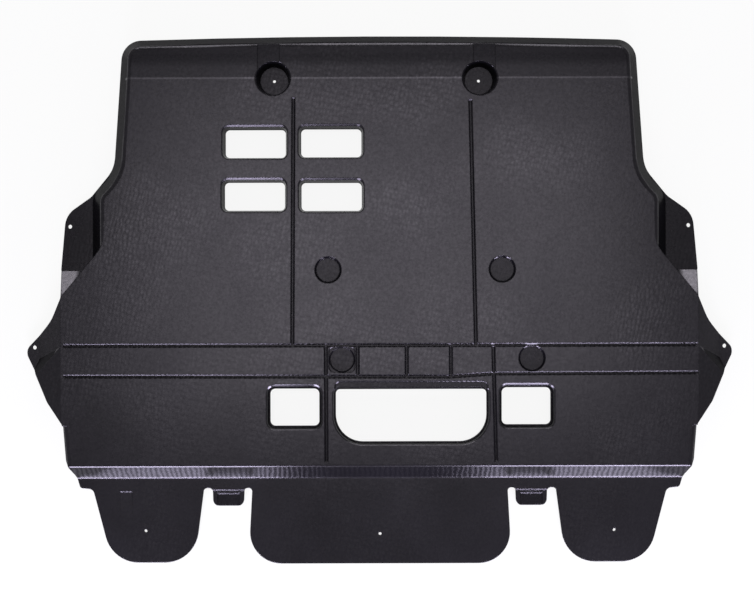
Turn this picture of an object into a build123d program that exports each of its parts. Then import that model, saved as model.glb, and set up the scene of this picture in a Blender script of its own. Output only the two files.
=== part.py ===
from build123d import *
import os
from math import atan2, cos, degrees, radians, tan

# Engine splash shield: one black plastic sheet, drawn by vacuum over a mould
# and trimmed round the edge with a router.
# It lies road face up. X runs across the car, Y along it and Z up.
# Z = 0 is the plane that the fixing cups, side ears and tabs rest on.
# All sizes are in millimetres.

# Levels of the road face
WALL = 3.0
PANEL_TOP = 28.0
TONGUE_TOP = 7.0
TAB_STEP = 2.0

# Bent edge of the main panel
RIM_FALL = 55.0
RIM_BEND = 8.0
REAR_CREASE_Y = 302.5
REAR_STRIP_FALL = 3.0

# Outline of the raised panel at its crest, CREST above the flat face: x, y and
# corner radius. The rim spreads outwards below it and the flat face cuts it off.
CREST = 3.0
CREST_BOW = 5.2
CREST_CORNER = 12.0
CREST_LINE = [
    (337.0, 340.4, 0),
    (348.4, 167.5, 70),
    (376.4, 138.0, 14),
    (376.4, 47.0, 30),
    (432.2, -21.0, 4),
    (432.2, -155.7, 0),
    (426.9, -171.8, 0),
    (422.9, -215.0, 0),
    (418.9, -262.0, 0),
    (0.0, -262.0, 0),
]

# Routed edge of the whole sheet, rear corner to front centre
EDGE_BOW = 5.8
EDGE_CORNER = 27.0
EDGE = [
    (353.5, 356.6, 0),
    (365.6, 182.0, 50),
    (398.0, 142.3, 25),
    (433.2, 117.5, 31),
    (439.9, 42.0, 0),
    (434.0, 3.0, 3),
    (449.4, -28.4, 60),
    (488.6, -69.9, 14),
    (455.3, -140.0, 20),
    (432.3, -170.0, 10),
    (428.6, -219.0, 8),
    (418.5, -241.0, 12),
    (413.0, -259.5, 5),
    (395.5, -261.2, 8),
    (368.8, -362.5, 47),
    (256.0, -362.5, 46),
    (242.6, -260.0, 5),
    (230.8, -260.0, 5),
    (230.0, -285.0, 9),
    (188.0, -285.0, 9),
    (187.0, -260.0, 4.5),
    (176.0, -260.0, 4.5),
    (181.5, -364.2, 43),
    (0.0, -364.2, 0),
]

# Ramp from the panel down to the tongues
RAMP_TOP_Y = -227.0
RAMP_FALL = 48.0
RAMP_TOP_BEND = 4.0
RAMP_FOOT_BEND = 3.0

# Side wings: a ramp up from the rear ear, then the folded-back front ear. The
# steep wall beside the ear runs along WING_WALL, front to rear, x and y.
WING_WALL = [(434.2, 3.5), (375.0, 75.2)]
WING_WALL_FALL = 78.0
WING_WALL_CORNER = 45.0
WING_FOLD_X = 434.3
WING_FRONT_Y = -172.0
WING_RAMP_TOP_Y = 3.0
WING_RAMP_FALL = 34.0
WING_FALL = 22.5
WING_BEND = 8.0
TIP_FALL = 31.5
TIP_TOP = 7.0
TIP_CREASE_Y = -64.0
TIP_WALL_FALL = 40.0

# Fixing cups sunk from the panel to the resting plane
CUPS = [(-144.5, 301.4), (137.7, 301.4)]
CUP_MOUTH_R = 23.4
CUP_FLOOR_R = 19.3
CUP_LIP = 1.6
RELIEF_OFFSET = 6.0
RELIEF_WIDTH = 30.0
RELIEF_DEPTH = 0.9

# Screw holes
CUP_HOLE_R = 2.1
EAR_HOLE_R = 2.8
EAR_HOLE_X = 427.6
EAR_HOLE_Y = 101.4
TIP_HOLE_X = 475.8
TIP_HOLE_Y = -65.4
TONGUE_HOLE_R = 2.1
TONGUE_HOLE_X = 323.0
TONGUE_HOLE_Y = -318.8
MID_HOLE_Y = -323.4

# Round dimples in the panel
DIMPLE_MOUTH_R = 18.6
DIMPLE_FLOOR_R = 15.8
DIMPLE_DEPTH = 3.6
DIMPLES = [(-70.0, 40.0), (167.2, 40.6), (-51.2, -82.0), (207.3, -80.6)]

# Openings trimmed out of sunk pockets. A pocket is wider than its opening by a
# frame on each side, and its lip slopes LIP further out, LIP_REAR more at the rear.
POCKET_FALL = 80.0
LIP = 1.2
LIP_REAR = 1.4
LIP_FALL = 40.0
LIP_DEPTH = 2.2

# Four equal windows: centres of the openings
WINDOW_WIDTH = 82.8
WINDOW_HEIGHT = 38.6
WINDOW_CORNER = 6.0
WINDOW_FRAME = 2.8
WINDOW_DEPTH = 14.0
WINDOWS = [(-169.3, 213.4), (-65.6, 214.2), (-170.6, 141.1), (-65.3, 140.6)]

# Two equal square openings: centres
SQUARE_WIDTH = 67.0
SQUARE_HEIGHT = 50.8
SQUARE_CORNER = 7.0
SQUARE_FRAME = 4.0
SQUARE_DEPTH = 10.0
SQUARES = [(-116.2, -147.5), (200.4, -146.4)]

# Wide opening with deep front corners, and a stepped ledge along its rear side
BAY_LEFT = -60.1
BAY_RIGHT = 146.1
BAY_REAR = -123.0
BAY_FRONT = -194.7
BAY_REAR_CORNER = 6.0
BAY_FRONT_CORNER = 37.0
BAY_FRAME = 3.4
BAY_DEPTH = 10.0
LEDGE_REACH = 8.4
LEDGE_DEPTH = 1.4

# Stiffening grooves pressed into the panel
GROOVE_WIDTH = 5.6
GROOVE_DEPTH = 2.0
GROOVE_FALL = 45.0
GROOVES = [
    [(-431.0, -62.7), (433.0, -62.7)],
    [(-431.0, -104.4), (97.0, -105.6), (155.0, -101.6), (434.0, -100.8)],
    [(-116.5, 275.0), (-118.8, -62.7)],
    [(124.3, 272.0), (131.2, -62.7)],
    [(-73.2, -62.7), (-72.7, -222.0)],
    [(154.6, -62.7), (158.4, -222.0)],
    [(-30.0, -62.7), (-30.0, -105.2)],
    [(36.8, -62.7), (36.8, -105.4)],
    [(97.0, -62.7), (97.0, -105.6)],
]
CELL_WIDTH = 37.0
CELL_HEIGHT = 36.0
CELL_CORNER = 8.0
CELL_DEPTH = 1.2

# Steps of the two clip tabs and the small dip in the left tongue
TAB_X = 209.2
TAB_WIDTH = 43.6
TAB_SIDE = 6.0
TAB_STEP_Y = -262.4
STEP_FALL = 60.0
TAB_POCKET_WIDTH = 30.5
TAB_POCKET_Y = -267.6
DIP_X = -350.0
DIP_Y = -264.5
DIP_WIDTH = 17.0
DIP_LENGTH = 40.0
DIP_DEPTH = 0.8

# Spans that reach well past the sheet, and the room that each cut clears above it
FAR = 600.0
PAST = 60.0
UNDER = 10.0
CLEAR = 9.0

# Places that follow from the sizes above
RAMP_FOOT_Y = RAMP_TOP_Y - (PANEL_TOP - TONGUE_TOP) / tan(radians(RAMP_FALL))
WING_RAMP_FOOT_Y = WING_RAMP_TOP_Y + (PANEL_TOP - WALL) / tan(radians(WING_RAMP_FALL))
CUP_DEPTH = PANEL_TOP - WALL


def inset(skin, fall):
    """Sideways move of a bend line when the surface is moved in by skin."""
    return skin * tan(radians(fall) / 2)


def half_line(corners):
    """Right-hand half of an outline, each corner rounded by its own radius."""
    points = [(x, y) for x, y, radius in corners]
    return FilletPolyline(*points, radius=[radius for x, y, radius in corners[1:-1]])


def cut_above(plane, corners, width):
    """Clear away everything above a bent surface: profile corners with their bends."""
    points = [(across, height) for across, height, bend in corners]
    with BuildSketch(plane) as profile:
        with BuildLine():
            FilletPolyline(*points, radius=[bend for across, height, bend in corners], close=True)
        make_face()
    extrude(profile.sketch, amount=width, mode=Mode.SUBTRACT)


def main_panel(skin):
    """Raised panel with its bent rim, its set-back rear strip and the front ramp."""
    top = PANEL_TOP - skin
    low = TONGUE_TOP - skin
    crest = PANEL_TOP + CREST - skin / cos(radians(RIM_FALL))
    with BuildPart() as panel:
        with BuildSketch(Plane.XY.offset(crest)) as outline:
            with BuildLine():
                side = half_line(CREST_LINE)
                mirror(about=Plane.YZ)
                end = side @ 0
                ThreePointArc((-end.X, end.Y), (0, end.Y + CREST_BOW), (end.X, end.Y))
            make_face()
            fillet(outline.vertices().group_by(Axis.Y)[-1], CREST_CORNER)
        extrude(amount=-PANEL_TOP - CREST, taper=RIM_FALL - 90)
        rear = REAR_CREASE_Y
        drop = 2 * PAST * tan(radians(REAR_STRIP_FALL))
        face_line = [
            (-FAR, top, 0),
            (rear, top, 0),
            (rear + 2 * PAST, top - drop, 0),
            (rear + 2 * PAST, crest + CLEAR, 0),
            (-FAR, crest + CLEAR, 0),
        ]
        cut_above(Plane.YZ.offset(-FAR), face_line, 2 * FAR)
        flats = panel.faces().filter_by(lambda face: face.normal_at().Z > 0.99)
        crease = panel.edges().filter_by(Axis.X).filter_by_position(Axis.Y, rear - 1, rear + 1)
        fillet(flats.edges() - crease, RIM_BEND - skin)
        start = RAMP_TOP_Y + inset(skin, RAMP_FALL)
        foot_y = RAMP_FOOT_Y + inset(skin, RAMP_FALL)
        ramp = [
            (start + PAST, top, 0),
            (start, top, RAMP_TOP_BEND - skin),
            (foot_y, low, RAMP_FOOT_BEND + skin),
            (-FAR, low, 0),
            (-FAR, top + CLEAR, 0),
            (start + PAST, top + CLEAR, 0),
        ]
        cut_above(Plane.YZ.offset(-FAR), ramp, 2 * FAR)
    return panel.part


def wing_plateau(skin):
    """Right-hand level ground of the wing, with its steep wall beside the rear ear."""
    (out_x, out_y), (in_x, in_y) = WING_WALL
    front_y = WING_FRONT_Y + 30
    with BuildPart() as plateau:
        with BuildSketch(Plane.XY.offset(PANEL_TOP - skin)) as level:
            with BuildLine():
                FilletPolyline(
                    (in_x - 30, in_y + 30),
                    (in_x, in_y + 30),
                    (in_x, in_y),
                    (out_x, out_y),
                    (out_x, front_y),
                    (in_x - 30, front_y),
                    radius=[0, 0, WING_WALL_CORNER, 0, 0, 0],
                    close=True,
                )
            make_face()
            offset(amount=-inset(skin, WING_WALL_FALL), kind=Kind.INTERSECTION)
        extrude(amount=-PANEL_TOP, taper=WING_WALL_FALL - 90)
    return plateau.part


def side_wing(skin):
    """Right-hand wing: the ramp beside the rear ear and the folded front ear."""
    top = PANEL_TOP - skin
    tip = TIP_TOP - skin
    near_x = WING_FOLD_X - PAST
    far_x = WING_FOLD_X + 2 * PAST
    fold = WING_FOLD_X - inset(skin, WING_FALL)
    steep = WING_FOLD_X - inset(skin, TIP_FALL)
    pad = steep + (top - tip) / tan(radians(TIP_FALL))
    ramp_top = WING_RAMP_TOP_Y - inset(skin, WING_RAMP_FALL)
    ramp_foot = WING_RAMP_FOOT_Y - inset(skin, WING_RAMP_FALL)
    fall = (far_x - fold) * tan(radians(WING_FALL))
    with BuildPart() as tip_cut:
        with BuildSketch(Plane.XZ.offset(-FAR)):
            with BuildLine():
                Polyline(
                    (steep, top),
                    (pad, tip),
                    (far_x, tip),
                    (far_x, top + CLEAR),
                    (steep, top + CLEAR),
                    close=True,
                )
            make_face()
        extrude(amount=2 * FAR)
        crease = Vector(1, -1, -tan(radians(WING_FALL)))
        down = Vector(1, 1, -(2**0.5) * tan(radians(TIP_WALL_FALL)))
        wall = Plane((fold, TIP_CREASE_Y, top), z_dir=crease.cross(down))
        split(bisect_by=wall, keep=Keep.TOP)
    with BuildPart() as wing:
        with BuildSketch(Plane.YZ.offset(near_x)):
            with BuildLine():
                Polyline(
                    (WING_FRONT_Y + skin, -UNDER),
                    (WING_FRONT_Y + skin, top),
                    (ramp_top, top),
                    (ramp_foot, WALL - skin),
                    (ramp_foot, -UNDER),
                    close=True,
                )
            make_face()
        extrude(amount=far_x - near_x)
        slope = [
            (near_x, top, 0),
            (fold, top, WING_BEND - skin),
            (far_x, top - fall, 0),
            (far_x, top + CLEAR, 0),
            (near_x, top + CLEAR, 0),
        ]
        cut_above(Plane.XZ.offset(-FAR), slope, 2 * FAR)
        add(tip_cut.part, mode=Mode.SUBTRACT)
    return wing.part


def round_press(places, top, mouth, floor, depth, skin):
    """Round draughted hollows sunk from the level top."""
    grow = inset(skin, degrees(atan2(depth, mouth - floor)))
    with Locations(*[(x, y, top) for x, y in places]):
        Cone(
            floor + grow,
            mouth + grow,
            depth,
            align=(Align.CENTER, Align.CENTER, Align.MAX),
            mode=Mode.SUBTRACT,
        )


def box_press(place, size, corner, depth, fall, skin):
    """Draughted rectangular hollow sunk from the panel face."""
    grow = inset(skin, fall)
    with BuildSketch(Plane.XY.offset(PANEL_TOP - skin)) as mouth:
        with Locations(place):
            RectangleRounded(size[0] + 2 * grow, size[1] + 2 * grow, corner + grow)
    extrude(mouth.sketch, amount=-depth, taper=90 - fall, mode=Mode.SUBTRACT)


def pocket_press(place, opening, corner, frame, depth, skin):
    """Pocket round a rectangular opening, with its sloping lip."""
    x, y = place
    width = opening[0] + 2 * frame
    height = opening[1] + 2 * frame
    box_press(place, (width, height), corner + frame, depth, POCKET_FALL, skin)
    if skin < LIP_DEPTH:
        rim = (width + 2 * LIP, height + 2 * LIP + LIP_REAR)
        box_press((x, y + LIP_REAR / 2), rim, corner + frame + LIP, LIP_DEPTH, LIP_FALL, skin)


def bay_outline(reach):
    """Outline of the wide opening, moved outwards by reach."""
    with BuildLine() as outline:
        FilletPolyline(
            (BAY_LEFT - reach, BAY_REAR + reach),
            (BAY_RIGHT + reach, BAY_REAR + reach),
            (BAY_RIGHT + reach, BAY_FRONT - reach),
            (BAY_LEFT - reach, BAY_FRONT - reach),
            radius=[
                BAY_REAR_CORNER + reach,
                BAY_REAR_CORNER + reach,
                BAY_FRONT_CORNER + reach,
                BAY_FRONT_CORNER + reach,
            ],
            close=True,
        )
    make_face(outline.edges())


def bay_press(reach, depth, fall, skin):
    """Draughted hollow in the shape of the wide opening, reach wider all round."""
    with BuildSketch(Plane.XY.offset(PANEL_TOP - skin)) as mouth:
        bay_outline(reach + inset(skin, fall))
    extrude(mouth.sketch, amount=-depth, taper=90 - fall, mode=Mode.SUBTRACT)


def forming_tool(skin):
    """Solid whose upper side is the road face, moved into the sheet by skin."""
    top = PANEL_TOP - skin
    low = TONGUE_TOP - skin
    with BuildPart() as tool:
        # Flat level of the ears and cups, and the higher level of the tongues
        with BuildSketch(Plane.XY.offset(-UNDER)):
            Rectangle(2 * FAR, 2 * FAR)
        extrude(amount=UNDER + WALL - skin)
        with BuildSketch(Plane.XY.offset(-UNDER)):
            with Locations((0, RAMP_TOP_Y - RAMP_TOP_BEND)):
                Rectangle(2 * FAR, FAR, align=(Align.CENTER, Align.MAX))
        extrude(amount=UNDER + low)

        # Raised panel and its two wings
        add(main_panel(skin))
        for wing in (wing_plateau(skin), side_wing(skin)):
            add(wing)
            add(mirror(wing, about=Plane.YZ, mode=Mode.PRIVATE))

        # Fixing cups with sloping lips, and a shallow relief from each to the rear rim
        round_press(CUPS, top, CUP_MOUTH_R, CUP_FLOOR_R, CUP_DEPTH, skin)
        if skin < CUP_LIP:
            round_press(CUPS, top, CUP_MOUTH_R + CUP_LIP, CUP_MOUTH_R, CUP_LIP, skin)
        for x, y in CUPS:
            centre = x + (RELIEF_OFFSET if x > 0 else -RELIEF_OFFSET)
            drop = RELIEF_DEPTH + PAST * tan(radians(REAR_STRIP_FALL))
            width = RELIEF_WIDTH + 2 * inset(skin, POCKET_FALL)
            relief = [
                (y, top - RELIEF_DEPTH, 0),
                (y + PAST, top - drop, 0),
                (y + PAST, top + CLEAR, 0),
                (y, top + CLEAR, 0),
            ]
            cut_above(Plane.YZ.offset(centre - width / 2), relief, width)

        # Pockets that the openings are trimmed out of
        for place in WINDOWS:
            opening = (WINDOW_WIDTH, WINDOW_HEIGHT)
            pocket_press(place, opening, WINDOW_CORNER, WINDOW_FRAME, WINDOW_DEPTH, skin)
        for place in SQUARES:
            opening = (SQUARE_WIDTH, SQUARE_HEIGHT)
            pocket_press(place, opening, SQUARE_CORNER, SQUARE_FRAME, SQUARE_DEPTH, skin)
        bay_press(BAY_FRAME, BAY_DEPTH, POCKET_FALL, skin)
        if skin < LIP_DEPTH:
            bay_press(BAY_FRAME + LIP, LIP_DEPTH, LIP_FALL, skin)
        ledge = ((BAY_LEFT + BAY_RIGHT) / 2, BAY_REAR)
        ledge_size = (BAY_RIGHT - BAY_LEFT + BAY_FRAME, 2 * (BAY_FRAME + LEDGE_REACH))
        box_press(ledge, ledge_size, LEDGE_REACH, LEDGE_DEPTH, GROOVE_FALL, skin)

        # Stiffening grooves, the dimple cell and the dimples
        for line in GROOVES:
            with BuildSketch(Plane.XY.offset(top)):
                with BuildLine():
                    Polyline(*line)
                trace(line_width=GROOVE_WIDTH + 2 * inset(skin, GROOVE_FALL))
            extrude(amount=-GROOVE_DEPTH, taper=90 - GROOVE_FALL, mode=Mode.SUBTRACT)
        box_press(DIMPLES[2], (CELL_WIDTH, CELL_HEIGHT), CELL_CORNER, CELL_DEPTH, GROOVE_FALL, skin)
        round_press(DIMPLES, top, DIMPLE_MOUTH_R, DIMPLE_FLOOR_R, DIMPLE_DEPTH, skin)

        # Two steps down to each clip tab, and the dip that runs out along one tongue
        steps = [
            (TAB_STEP_Y, low, TAB_WIDTH + 2 * TAB_SIDE),
            (TAB_POCKET_Y, low - TAB_STEP, TAB_POCKET_WIDTH + 2 * inset(skin, POCKET_FALL)),
        ]
        for y, level, width in steps:
            edge_y = y + inset(skin, STEP_FALL)
            step = [
                (edge_y, level, 0),
                (edge_y - TAB_STEP / tan(radians(STEP_FALL)), level - TAB_STEP, 0),
                (y - PAST, level - TAB_STEP, 0),
                (y - PAST, level + CLEAR, 0),
                (edge_y, level + CLEAR, 0),
            ]
            for x in (-TAB_X, TAB_X):
                cut_above(Plane.YZ.offset(x - width / 2), step, width)
        dip = [
            (DIP_Y, low, 0),
            (DIP_Y - DIP_DEPTH, low - DIP_DEPTH, 0),
            (DIP_Y - DIP_LENGTH, low, 0),
        ]
        cut_above(Plane.YZ.offset(DIP_X - DIP_WIDTH / 2), dip, DIP_WIDTH)
    return tool.part


with BuildPart() as shield:
    add(forming_tool(0))
    add(forming_tool(WALL), mode=Mode.SUBTRACT)

    # Router trim round the edge
    with BuildSketch(Plane.XY.offset(-UNDER)) as trim:
        with BuildLine():
            side = half_line(EDGE)
            mirror(about=Plane.YZ)
            end = side @ 0
            ThreePointArc((-end.X, end.Y), (0, end.Y + EDGE_BOW), (end.X, end.Y))
        make_face()
        fillet(trim.vertices().group_by(Axis.Y)[-1], EDGE_CORNER)
    extrude(amount=FAR, mode=Mode.INTERSECT)

    # Openings cut through the pocket floors
    with BuildSketch(Plane.XY.offset(-UNDER)):
        with Locations(*WINDOWS):
            RectangleRounded(WINDOW_WIDTH, WINDOW_HEIGHT, WINDOW_CORNER)
        with Locations(*SQUARES):
            RectangleRounded(SQUARE_WIDTH, SQUARE_HEIGHT, SQUARE_CORNER)
        bay_outline(0)
    extrude(amount=FAR, mode=Mode.SUBTRACT)

    # Screw holes through the cups, ears, front ears and tongues
    holes = [(x, y, CUP_HOLE_R) for x, y in CUPS]
    for side in (-1, 1):
        holes += [
            (side * EAR_HOLE_X, EAR_HOLE_Y, EAR_HOLE_R),
            (side * TIP_HOLE_X, TIP_HOLE_Y, EAR_HOLE_R),
            (side * TONGUE_HOLE_X, TONGUE_HOLE_Y, TONGUE_HOLE_R),
        ]
    holes.append((0, MID_HOLE_Y, TONGUE_HOLE_R))
    with BuildSketch(Plane.XY.offset(-UNDER)):
        for x, y, radius in holes:
            with Locations((x, y)):
                Circle(radius)
    extrude(amount=FAR, mode=Mode.SUBTRACT)

# The origin lies at the middle of the sheet's length
middle = shield.part.bounding_box().center().Y
sheet = Pos(0, -middle, 0) * shield.part
sheet.label = "splash_shield"
os.makedirs("parts", exist_ok=True)
export_step(sheet, "parts/splash_shield.step")
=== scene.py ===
import math

import bpy
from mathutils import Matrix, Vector


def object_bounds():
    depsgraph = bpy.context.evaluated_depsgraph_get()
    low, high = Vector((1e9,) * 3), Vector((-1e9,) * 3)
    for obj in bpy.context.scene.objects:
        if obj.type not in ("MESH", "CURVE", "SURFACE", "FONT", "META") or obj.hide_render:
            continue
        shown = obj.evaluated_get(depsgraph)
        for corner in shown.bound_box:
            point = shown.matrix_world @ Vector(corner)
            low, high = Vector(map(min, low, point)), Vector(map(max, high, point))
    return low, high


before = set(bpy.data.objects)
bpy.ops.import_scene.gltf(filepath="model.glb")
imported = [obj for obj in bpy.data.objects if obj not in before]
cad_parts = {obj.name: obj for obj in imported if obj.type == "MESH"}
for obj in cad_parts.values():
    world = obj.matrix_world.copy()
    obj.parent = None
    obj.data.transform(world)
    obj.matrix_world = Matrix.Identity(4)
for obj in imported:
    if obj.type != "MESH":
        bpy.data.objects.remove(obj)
cad_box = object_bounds()


# Camera: 1.5 m above the panel, looking straight down, as the sheet lies road
# face up. The picture is turned and moved a little, as in the photograph.
PHOTO_WIDTH = 754
MM_PER_PIXEL = 1.36
SENSOR_MM = 36.0
DISTANCE = 1.5
PICTURE_MIDDLE = (-0.0034, -0.0002)
PICTURE_TURN = math.radians(-0.15)
sheet_height = cad_box[1][2]
camera_data = bpy.data.cameras.new("camera")
camera_data.sensor_width = SENSOR_MM
camera_data.lens = SENSOR_MM * DISTANCE * 1000 / (PHOTO_WIDTH * MM_PER_PIXEL)
camera = bpy.data.objects.new("camera", camera_data)
camera.location = (*PICTURE_MIDDLE, sheet_height + DISTANCE)
camera.rotation_euler = (0, 0, PICTURE_TURN)
bpy.context.collection.objects.link(camera)
bpy.context.scene.camera = camera
bpy.context.scene.view_settings.view_transform = "Standard"


# Floor: a plain white studio floor just under the sheet. The camera and mirror
# rays see it as white, less the sheet's soft shadow.
def linear(code):
    """Linear colour from a hex code written as it looks on the screen."""
    parts = [int(code[i : i + 2], 16) / 255 for i in (1, 3, 5)]
    return [c / 12.92 if c <= 0.04045 else ((c + 0.055) / 1.055) ** 2.4 for c in parts] + [1.0]


def add_node(tree, kind, inputs=None, **settings):
    """New shader node with its settings. Each input is a value, or a socket to link it to."""
    node = tree.nodes.new("ShaderNode" + kind)
    for name, value in settings.items():
        setattr(node, name, value)
    for name, value in (inputs or {}).items():
        if isinstance(value, bpy.types.NodeSocket):
            tree.links.new(value, node.inputs[name])
        else:
            node.inputs[name].default_value = value
    return node


WHITE = linear("#ffffff")
FLOOR_REACH = 6.0
FLOOR_GAP = 0.0002
GLOW_SHARE = 0.88
floor_mesh = bpy.data.meshes.new("floor")
corners = [(x * FLOOR_REACH, y * FLOOR_REACH, 0) for x, y in ((-1, -1), (1, -1), (1, 1), (-1, 1))]
floor_mesh.from_pydata(corners, [], [(0, 1, 2, 3)])
floor = bpy.data.objects.new("floor", floor_mesh)
floor.location.z = -FLOOR_GAP
bpy.context.collection.objects.link(floor)
material = bpy.data.materials.new("studio_floor")
material.use_nodes = True
tree = material.node_tree
tree.nodes.clear()
rays = add_node(tree, "LightPath").outputs
seen = rays["Is Camera Ray"]
for kind in ("Is Glossy Ray", "Is Transmission Ray"):
    seen = add_node(tree, "Math", {0: seen, 1: rays[kind]}, operation="MAXIMUM").outputs[0]
share = add_node(tree, "Math", {0: seen, 1: GLOW_SHARE}, operation="MULTIPLY").outputs[0]
paper = add_node(tree, "BsdfDiffuse", {"Color": WHITE}).outputs[0]
glow = add_node(tree, "Emission", {"Color": WHITE, "Strength": 1.0}).outputs[0]
mix = add_node(tree, "MixShader", {0: share, 1: paper, 2: glow}).outputs[0]
add_node(tree, "OutputMaterial", {"Surface": mix})
floor_mesh.materials.append(material)


# Studio light: a soft box overhead and a weaker one behind it, two low ones beyond
# the front corners, whose light the ramp catches on its left and right thirds, and
# a low one beyond the rear edge for the ramps of the rear ears.
def soft_box(name, place, aim, size, power, colour="#ffffff"):
    """Rectangular area lamp at place, turned towards aim."""
    data = bpy.data.lights.new(name, "AREA")
    data.shape = "RECTANGLE"
    data.size, data.size_y = size
    data.energy = power
    data.color = linear(colour)[:3]
    lamp = bpy.data.objects.new(name, data)
    lamp.location = place
    lamp.rotation_mode = "QUATERNION"
    lamp.rotation_quaternion = (Vector(aim) - Vector(place)).to_track_quat("-Z", "Y")
    bpy.context.collection.objects.link(lamp)


soft_box("overhead", (0, 0.18, 3.2), (0, 0.18, 0), (2.1, 1.29), 16.4)
soft_box("overhead_rear", (0, 1.2, 3.2), (0, 1.2, 0), (2.1, 0.78), 3.0)
for side, x in (("left", -0.47), ("right", 0.47)):
    soft_box("front_" + side, (x, -0.92, 0.2), (x, 0, 0.2), (0.52, 0.3), 15.5, "#ece8ff")
soft_box("rear", (0, 2.4, 1.0), (0, 0, 0), (2.6, 0.5), 20)
world = bpy.data.worlds.new("studio")
world.use_nodes = True
background = world.node_tree.nodes["Background"]
background.inputs["Color"].default_value = WHITE
background.inputs["Strength"].default_value = 0.32
bpy.context.scene.world = world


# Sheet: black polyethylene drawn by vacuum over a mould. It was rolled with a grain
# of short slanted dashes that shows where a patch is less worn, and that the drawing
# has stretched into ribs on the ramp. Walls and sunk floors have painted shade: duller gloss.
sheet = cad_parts["splash_shield"]
material = bpy.data.materials.new("black_sheet")
material.use_nodes = True
tree = material.node_tree
coords = add_node(tree, "TexCoord").outputs
place = coords["Object"]
spot = add_node(tree, "SeparateXYZ", {0: place}).outputs

# Cloudy black, and an uneven gloss from handling. Noise scales count per metre, so
# 7 is a cloud 140 mm across.
noise = {"Vector": place, "Scale": 7.0, "Detail": 5.0, "Roughness": 0.6}
cloud = add_node(tree, "TexNoise", noise).outputs["Fac"]
tint = add_node(tree, "ValToRGB", {0: cloud})
for step, position, colour in zip(tint.color_ramp.elements, (0.3, 0.75), ("#0f0e11", "#141317")):
    step.position = position
    step.color = linear(colour)
handled = {"Value": cloud, "From Min": 0.3, "From Max": 0.7, "To Min": 0.21, "To Max": 0.27}
rough = add_node(tree, "MapRange", handled)

# How level the surface lies, from 0 upright to 1 flat: first of the wall itself,
# then with its edges rounded
EDGE_ROUND = 0.0016
facing = add_node(tree, "SeparateXYZ", {0: coords["Normal"]}).outputs
wall = add_node(tree, "Math", {0: facing["Z"]}, operation="ABSOLUTE").outputs[0]
edges = add_node(tree, "Bevel", {"Radius": EDGE_ROUND}, samples=4).outputs[0]
turned = add_node(
    tree, "VectorTransform", {0: edges}, vector_type="NORMAL", convert_from="WORLD", convert_to="OBJECT"
).outputs[0]
axes = add_node(tree, "SeparateXYZ", {0: turned}).outputs
level = add_node(tree, "Math", {0: axes["Z"]}, operation="ABSOLUTE").outputs[0]

# Light lines: the rounded rear side of each level groove, and the rear lip of each
# opening away from the middle, mirror a front lamp as one clean line. Both lie just
# below the panel's face. A groove's side is tilted 45 degrees and a lip 40.
LINE_Z = sheet_height - 0.0015
LINE_REACH = 0.0007
GROOVE_SIDE_Y = -0.707
LIP_Y = -0.643
TILT_PLAY = 0.03
MIDDLE_X = 0.02
MIDDLE_REACH = 0.115
near = {0: spot["Z"], 1: LINE_Z, 2: LINE_REACH}
band = add_node(tree, "Math", near, operation="COMPARE").outputs[0]
tilted = {0: facing["Y"], 2: TILT_PLAY}
groove_side = add_node(tree, "Math", tilted | {1: GROOVE_SIDE_Y}, operation="COMPARE").outputs[0]
lip = add_node(tree, "Math", tilted | {1: LIP_Y}, operation="COMPARE").outputs[0]
between = {0: spot["X"], 1: MIDDLE_X, 2: MIDDLE_REACH}
middle = add_node(tree, "Math", between, operation="COMPARE").outputs[0]
outer_x = add_node(tree, "Math", {0: 1.0, 1: middle}, operation="SUBTRACT").outputs[0]
outer_lip = add_node(tree, "Math", {0: lip, 1: outer_x}, operation="MULTIPLY").outputs[0]
either = add_node(tree, "Math", {0: groove_side, 1: outer_lip}, operation="MAXIMUM").outputs[0]
lined = add_node(tree, "Math", {0: band, 1: either}, operation="MULTIPLY").outputs[0]

# The lines' normal leans forward, so that it mirrors a front lamp upwards. It turns
# evenly along Y: each pair is the change for each metre, and the value at Y 0. A
# Mix node's inputs go by number: 0 is the share, 2 and 3 values, 4 and 5 vectors.
LEAN_Y = (-0.323, -0.635)
LEAN_Z = (-0.285, 0.771)
lean_y, lean_z = [
    add_node(tree, "Math", {0: spot["Y"], 1: change, 2: start}, operation="MULTIPLY_ADD").outputs[0]
    for change, start in (LEAN_Y, LEAN_Z)
]
lean = add_node(tree, "CombineXYZ", {"Y": lean_y, "Z": lean_z}).outputs[0]
leaning = add_node(
    tree, "VectorTransform", {0: lean}, vector_type="NORMAL", convert_from="OBJECT", convert_to="WORLD"
).outputs[0]
shape = add_node(tree, "Mix", {0: lined, 4: edges, 5: leaning}, data_type="VECTOR").outputs[1]

# Grain: bent rows of slanted dashes on the level parts, 0.02 to 0.08 mm deep by how
# worn a patch is. The patches are about 170 mm across, from the slice of the noise
# in which they lie much as on the real sheet.
DASH_WIDTH = 0.0052
DASH_LENGTH = 0.0075
DASH_SLANT = math.radians(-12)
ROW_BEND = 0.008
PATCH_SLICE = (0, 0, 5.95)
warp = add_node(tree, "TexNoise", {"Vector": place, "Scale": 25.0, "Detail": 1.0}).outputs["Color"]
shifted = {"Fac": ROW_BEND, "Color1": place, "Color2": warp}
bend = add_node(tree, "MixRGB", shifted, blend_type="ADD").outputs[0]
cell = {"Vector": bend, "Rotation": (0, 0, DASH_SLANT), "Scale": (DASH_WIDTH, DASH_LENGTH, DASH_WIDTH)}
slant = add_node(tree, "Mapping", cell, vector_type="TEXTURE").outputs[0]
rows = {"Vector": slant, "Scale": 1.0, "Randomness": 0.5, "Smoothness": 0.3}
dashes = add_node(tree, "TexVoronoi", rows, feature="SMOOTH_F1").outputs["Distance"]
moved = add_node(tree, "Mapping", {"Vector": place, "Location": PATCH_SLICE}).outputs[0]
patches = add_node(tree, "TexNoise", {"Vector": moved, "Scale": 6.0, "Detail": 1.0}).outputs["Fac"]
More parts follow.
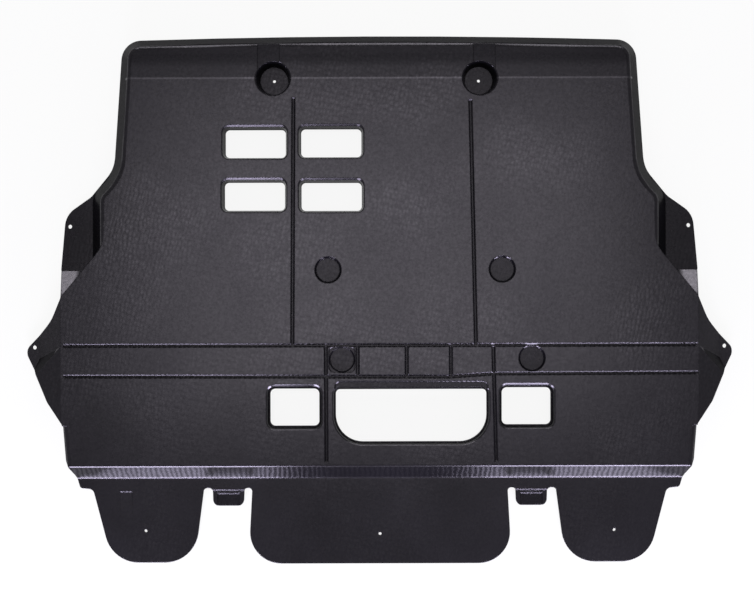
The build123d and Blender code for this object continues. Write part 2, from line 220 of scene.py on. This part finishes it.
depth = {"Value": patches, "From Min": 0.42, "From Max": 0.62, "To Min": 0.00002, "To Max": 0.00008}
patch = add_node(tree, "MapRange", depth).outputs[0]
flat = add_node(tree, "MapRange", {"Value": wall, "From Min": 0.95, "From Max": 0.99}).outputs[0]
pressed = add_node(tree, "Math", {0: patch, 1: flat}, operation="MULTIPLY").outputs[0]
grain = add_node(
    tree, "Bump", {"Strength": 1.0, "Distance": pressed, "Height": dashes, "Normal": shape}, invert=True
).outputs[0]

# Ribs: the same grain, stretched on the ramp, which is tilted 48 degrees. A wave
# texture of scale 1 has 20 / tau bands in a metre.
RIB_PITCH = 0.0068
RIB_HEIGHT = 0.00009
RAMP_LEVEL = 0.669
RAMP_PLAY = 0.04
wave = {"Vector": place, "Distortion": 3.5, "Detail": 2.0, "Detail Scale": 1.5}
wave["Scale"] = math.tau / 20 / RIB_PITCH
ribs = add_node(tree, "TexWave", wave, bands_direction="X").outputs["Fac"]
ramp = add_node(tree, "Math", {0: wall, 1: RAMP_LEVEL, 2: RAMP_PLAY}, operation="COMPARE").outputs[0]
rise = add_node(tree, "Math", {0: ramp, 1: RIB_HEIGHT}, operation="MULTIPLY").outputs[0]
ribbed = add_node(tree, "Bump", {"Strength": 1.0, "Distance": rise, "Height": ribs, "Normal": grain})

# Gloss with painted shade and light: dull on steep walls, but the rounded edge of an upright one shines most
slope = {"Value": level, "From Min": 0.63, "From Max": 0.76, "To Min": 0.02, "To Max": 0.5}
painted_slope_shade = add_node(tree, "MapRange", slope).outputs[0]
upright = {"Value": wall, "From Min": 0.2, "From Max": 0.5, "To Min": 2.0, "To Max": 1.0}
upright_painted_light = add_node(tree, "MapRange", upright).outputs[0]
gloss = add_node(tree, "Math", {0: painted_slope_shade, 1: upright_painted_light}, operation="MULTIPLY").outputs[0]

# Painted highlights along the rear crease and the ramp's foot, as added gloss. For each: its
# Y, the lowest Z, the half width of the full line and of its fade, and the gloss it adds.
PAINTED_HIGHLIGHT_LINES = ((0.3022, 0.022, 0.0004, 0.0018, 0.45), (-0.2450, -0.001, 0.0014, 0.0026, 0.3))
for line_y, lowest, full, fade, added in PAINTED_HIGHLIGHT_LINES:
    above = add_node(tree, "Math", {0: spot["Z"], 1: lowest}, operation="GREATER_THAN").outputs[0]
    offset = add_node(tree, "Math", {0: spot["Y"], 1: line_y}, operation="SUBTRACT").outputs[0]
    away = add_node(tree, "Math", {0: offset}, operation="ABSOLUTE").outputs[0]
    across = {"Value": away, "From Min": full, "From Max": fade, "To Min": added, "To Max": 0.0}
    painted_line = add_node(tree, "MapRange", across).outputs[0]
    gloss = add_node(tree, "Math", {0: painted_line, 1: above, 2: gloss}, operation="MULTIPLY_ADD").outputs[0]

# Floors: painted shade on the lower level floors, which keep less gloss than the panel's face.
# Each pair is a height in mm in the sheet and the share of the gloss that is left there.
CUPS_AND_REAR_EARS = ((4.2, 0.55),)
TONGUES_AND_FRONT_EARS = ((5.6, 0.9), (8.12, 0.9))
LEDGES = ((9.24, 0.25), (18.48, 0.25))
DIMPLES = ((24.36, 0.5), (25.48, 0.5))
GROOVES = ((25.76, 0.6), (26.26, 0.6))
REAR_STRIP = ((26.4, 0.5), (26.82, 0.6))
PANEL = ((27.3, 1.0),)
height = add_node(tree, "MapRange", {"Value": spot["Z"], "From Max": sheet_height}).outputs[0]
floor_shade_ramp = add_node(tree, "ValToRGB", {0: height})
steps = floor_shade_ramp.color_ramp.elements
steps[0].color = (0.55, 0.55, 0.55, 1)
for mm, kept in CUPS_AND_REAR_EARS + TONGUES_AND_FRONT_EARS + LEDGES + DIMPLES + GROOVES + REAR_STRIP + PANEL:
    steps.new(mm / 1000 / sheet_height).color = (kept, kept, kept, 1)
painted_floor_shade = add_node(tree, "Mix", {0: flat, 2: 1.0, 3: floor_shade_ramp.outputs[0]}, data_type="FLOAT").outputs[0]

# Low folds of the ears, tilted about 38 degrees, are dulled as painted shade, but the outer
# end of the rear ears' ramps gets a painted highlight
FOLD_LEVEL = 0.79
FOLD_PLAY = 0.05
LOW = 0.024
OUTER_END = (0.414, 0.421)
REAR_EARS_Y = -0.01
fold = add_node(tree, "Math", {0: wall, 1: FOLD_LEVEL, 2: FOLD_PLAY}, operation="COMPARE").outputs[0]
low = add_node(tree, "Math", {0: spot["Z"], 1: LOW}, operation="LESS_THAN").outputs[0]
low_fold = add_node(tree, "Math", {0: fold, 1: low}, operation="MULTIPLY").outputs[0]
aside = add_node(tree, "Math", {0: spot["X"]}, operation="ABSOLUTE").outputs[0]
ends = {"Value": aside, "From Min": OUTER_END[0], "From Max": OUTER_END[1]}
outer = add_node(tree, "MapRange", ends).outputs[0]
rearward = add_node(tree, "Math", {0: spot["Y"], 1: REAR_EARS_Y}, operation="GREATER_THAN").outputs[0]
outer_end = add_node(tree, "Math", {0: outer, 1: rearward}, operation="MULTIPLY").outputs[0]
fold_painted_light = add_node(tree, "MapRange", {"Value": outer_end, "To Min": 0.12, "To Max": 1.8}).outputs[0]
fold_shade_and_highlight = add_node(tree, "Mix", {0: low_fold, 2: 1.0, 3: fold_painted_light}, data_type="FLOAT").outputs[0]

# The ribs' crests shine more than the hollows between them
crest = add_node(tree, "MapRange", {"Value": ribs, "To Min": 0.4, "To Max": 1.4}).outputs[0]
on_ramp = add_node(tree, "Mix", {0: ramp, 2: 1.0, 3: crest}, data_type="FLOAT").outputs[0]

# Wear: fine specks all over, about 3 mm across. A less worn patch is brighter, and
# its dashes shine.
specks = {"Vector": place, "Scale": 300.0, "Detail": 2.0, "Roughness": 0.6}
speck = add_node(tree, "TexNoise", specks).outputs["Fac"]
rubbing = {"Value": speck, "From Min": 0.3, "From Max": 0.7, "To Min": 0.82, "To Max": 1.18}
worn = add_node(tree, "MapRange", rubbing).outputs[0]
unworn = {"Value": patches, "From Min": 0.45, "From Max": 0.62}
fresh = add_node(tree, "MapRange", unworn | {"To Min": 0.96, "To Max": 1.2}).outputs[0]
shown = add_node(tree, "MapRange", unworn | {"To Min": 0.2, "To Max": 1.0}).outputs[0]
faces = {"Value": dashes, "From Min": 0.1, "From Max": 0.55, "To Min": 1.12, "To Max": 0.82}
face = add_node(tree, "MapRange", faces).outputs[0]
dashed = add_node(tree, "Mix", {0: shown, 2: 1.0, 3: face}, data_type="FLOAT").outputs[0]
for kept in (painted_floor_shade, fold_shade_and_highlight, on_ramp, worn, fresh, dashed):
    gloss = add_node(tree, "Math", {0: gloss, 1: kept}, operation="MULTIPLY").outputs[0]

# On the light lines a groove's side mirrors more than a lip does
GROOVE_LINE = 0.4
LIP_LINE = 0.17
tilts = {"Value": facing["Y"], "From Min": -0.66, "From Max": -0.69}
line = add_node(tree, "MapRange", tilts | {"To Min": LIP_LINE, "To Max": GROOVE_LINE}).outputs[0]
gloss = add_node(tree, "Mix", {0: lined, 2: gloss, 3: line}, data_type="FLOAT").outputs[0]

shader = tree.nodes["Principled BSDF"]
shader.inputs["Specular Tint"].default_value = linear("#f8f1ff")
tree.links.new(tint.outputs[0], shader.inputs["Base Color"])
tree.links.new(rough.outputs[0], shader.inputs["Roughness"])
tree.links.new(ribbed.outputs[0], shader.inputs["Normal"])
tree.links.new(gloss, shader.inputs["Specular IOR Level"])
sheet.data.materials.clear()
sheet.data.materials.append(material)
